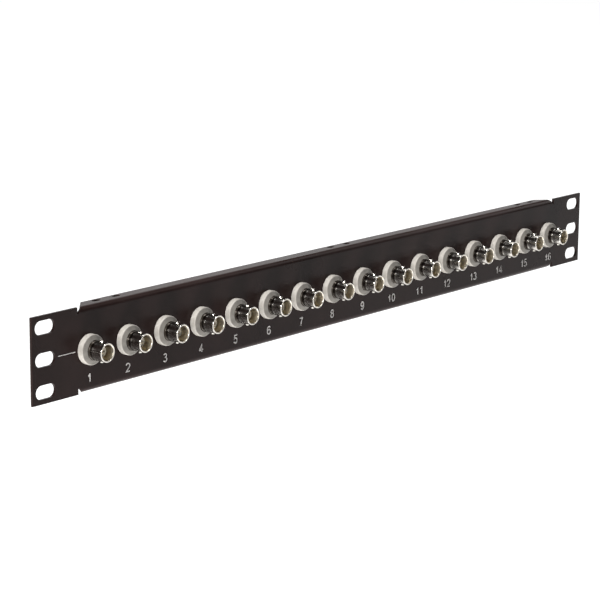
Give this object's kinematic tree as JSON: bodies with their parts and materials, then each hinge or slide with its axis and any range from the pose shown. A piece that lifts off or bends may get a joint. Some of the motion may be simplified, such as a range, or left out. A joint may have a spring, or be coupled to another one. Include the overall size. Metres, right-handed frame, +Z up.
{
  "type": "rack patch panel",
  "caption": "Rack-mount patch panel: a folded steel face with ears and rack slots, carrying a row of insulated BNC sockets with solder terminals behind.",
  "frame": {"origin": "centre of the panel's rear face, the plane that seats on the rack rails, midway between the ears", "axes": "+X to the right as seen from the front, along the panel; +Y to the back, out of the rear face; +Z up"},
  "size_m": [0.4826, 0.028, 0.0436],
  "materials": {
    "panel_paint": "black powder coat, fine texture, satin",
    "nickel": "bright nickel plate on brass",
    "nylon": "moulded ivory-grey nylon, satin",
    "insulator": "turned white PTFE",
    "contact": "gold plate",
    "tinned": "tin plate",
    "print": "white screen print"
  },
  "bodies": {
    "root": {"rack_panel": "panel_paint", "socket_body_01": "nickel", "front_bush_01": "nylon", "rear_nut_01": "nickel", "socket_body_02": "nickel", "front_bush_02": "nylon", "rear_nut_02": "nickel", "socket_body_03": "nickel", "front_bush_03": "nylon", "rear_nut_03": "nickel", "socket_body_04": "nickel", "front_bush_04": "nylon", "rear_nut_04": "nickel", "socket_body_05": "nickel", "front_bush_05": "nylon", "rear_nut_05": "nickel", "socket_body_06": "nickel", "front_bush_06": "nylon", "rear_nut_06": "nickel", "socket_body_07": "nickel", "front_bush_07": "nylon", "rear_nut_07": "nickel", "socket_body_08": "nickel", "front_bush_08": "nylon", "rear_nut_08": "nickel", "socket_body_09": "nickel", "front_bush_09": "nylon", "rear_nut_09": "nickel", "socket_body_10": "nickel", "front_bush_10": "nylon", "rear_nut_10": "nickel", "socket_body_11": "nickel", "front_bush_11": "nylon", "rear_nut_11": "nickel", "socket_body_12": "nickel", "front_bush_12": "nylon", "rear_nut_12": "nickel", "socket_body_13": "nickel", "front_bush_13": "nylon", "rear_nut_13": "nickel", "socket_body_14": "nickel", "front_bush_14": "nylon", "rear_nut_14": "nickel", "socket_body_15": "nickel", "front_bush_15": "nylon", "rear_nut_15": "nickel", "socket_body_16": "nickel", "front_bush_16": "nylon", "rear_nut_16": "nickel"}
  },
  "joints": []
}
